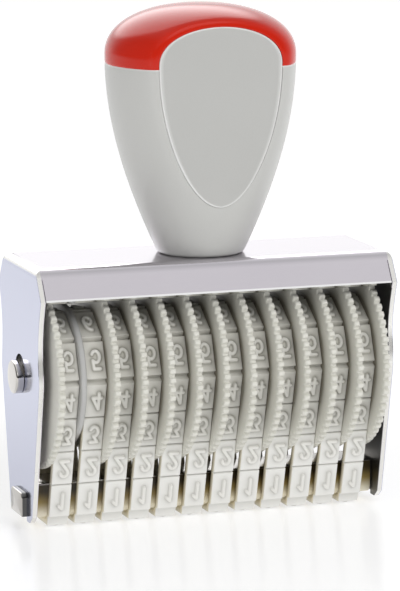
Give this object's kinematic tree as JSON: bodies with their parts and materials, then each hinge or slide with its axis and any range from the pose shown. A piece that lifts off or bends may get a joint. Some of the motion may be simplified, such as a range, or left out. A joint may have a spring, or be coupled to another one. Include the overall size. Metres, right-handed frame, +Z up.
{
  "type": "number stamp",
  "caption": "Hand stamp that prints a row of figures: rubber number bands run over toothed thumbwheels and a printing bar in a folded metal frame under an egg-shaped handle with a coloured cap.",
  "frame": {"origin": "centre of the printing plane, on which the stamp stands, below the middle of the frame", "axes": "+Z up along the handle, +X along the row of bands, -Y toward the front of the stamp"},
  "size_m": [0.069, 0.033, 0.0915],
  "materials": {
    "frame": "polished nickel plate",
    "axle": "polished nickel plate",
    "spacer": "satin",
    "bar": "polished nickel plate",
    "handle": "fine satin, light grey",
    "cap": "gloss red",
    "panel": "fine satin, light grey",
    "screw": "zinc",
    "wheel": "satin, light grey",
    "band": "matt, light warm grey"
  },
  "bodies": {
    "stamp": {"frame": "frame", "wheel_axle": "axle", "axle_spacers": "spacer", "guide_disc": "wheel", "printing_bar": "bar", "handle_body": "handle", "handle_cap": "cap", "front_panel": "panel", "rear_panel": "panel", "handle_screw": "screw", "number_band_01": "band", "number_band_02": "band", "number_band_03": "band", "number_band_04": "band", "number_band_05": "band", "number_band_06": "band", "number_band_07": "band", "number_band_08": "band", "number_band_09": "band", "number_band_10": "band", "number_band_11": "band", "number_band_12": "band"},
    "wheel_01": {"number_wheel_01": "wheel"},
    "wheel_02": {"number_wheel_02": "wheel"},
    "wheel_03": {"number_wheel_03": "wheel"},
    "wheel_04": {"number_wheel_04": "wheel"},
    "wheel_05": {"number_wheel_05": "wheel"},
    "wheel_06": {"number_wheel_06": "wheel"},
    "wheel_07": {"number_wheel_07": "wheel"},
    "wheel_08": {"number_wheel_08": "wheel"},
    "wheel_09": {"number_wheel_09": "wheel"},
    "wheel_10": {"number_wheel_10": "wheel"},
    "wheel_11": {"number_wheel_11": "wheel"},
    "wheel_12": {"number_wheel_12": "wheel"}
  },
  "joints": [
    {"name": "wheel_01_turn", "type": "hinge", "parent": "stamp", "child": "wheel_01", "pos_m": [-0.0275, 0, 0.02675], "axis": [1, 0, 0], "continuous": true},
    {"name": "wheel_02_turn", "type": "hinge", "parent": "stamp", "child": "wheel_02", "pos_m": [-0.0225, 0, 0.02675], "axis": [1, 0, 0], "continuous": true},
    {"name": "wheel_03_turn", "type": "hinge", "parent": "stamp", "child": "wheel_03", "pos_m": [-0.0175, 0, 0.02675], "axis": [1, 0, 0], "continuous": true},
    {"name": "wheel_04_turn", "type": "hinge", "parent": "stamp", "child": "wheel_04", "pos_m": [-0.0125, 0, 0.02675], "axis": [1, 0, 0], "continuous": true},
    {"name": "wheel_05_turn", "type": "hinge", "parent": "stamp", "child": "wheel_05", "pos_m": [-0.0075, 0, 0.02675], "axis": [1, 0, 0], "continuous": true},
    {"name": "wheel_06_turn", "type": "hinge", "parent": "stamp", "child": "wheel_06", "pos_m": [-0.0025, 0, 0.02675], "axis": [1, 0, 0], "continuous": true},
    {"name": "wheel_07_turn", "type": "hinge", "parent": "stamp", "child": "wheel_07", "pos_m": [0.0025, 0, 0.02675], "axis": [1, 0, 0], "continuous": true},
    {"name": "wheel_08_turn", "type": "hinge", "parent": "stamp", "child": "wheel_08", "pos_m": [0.0075, 0, 0.02675], "axis": [1, 0, 0], "continuous": true},
    {"name": "wheel_09_turn", "type": "hinge", "parent": "stamp", "child": "wheel_09", "pos_m": [0.0125, 0, 0.02675], "axis": [1, 0, 0], "continuous": true},
    {"name": "wheel_10_turn", "type": "hinge", "parent": "stamp", "child": "wheel_10", "pos_m": [0.0175, 0, 0.02675], "axis": [1, 0, 0], "continuous": true},
    {"name": "wheel_11_turn", "type": "hinge", "parent": "stamp", "child": "wheel_11", "pos_m": [0.0225, 0, 0.02675], "axis": [1, 0, 0], "continuous": true},
    {"name": "wheel_12_turn", "type": "hinge", "parent": "stamp", "child": "wheel_12", "pos_m": [0.0275, 0, 0.02675], "axis": [1, 0, 0], "continuous": true}
  ]
}
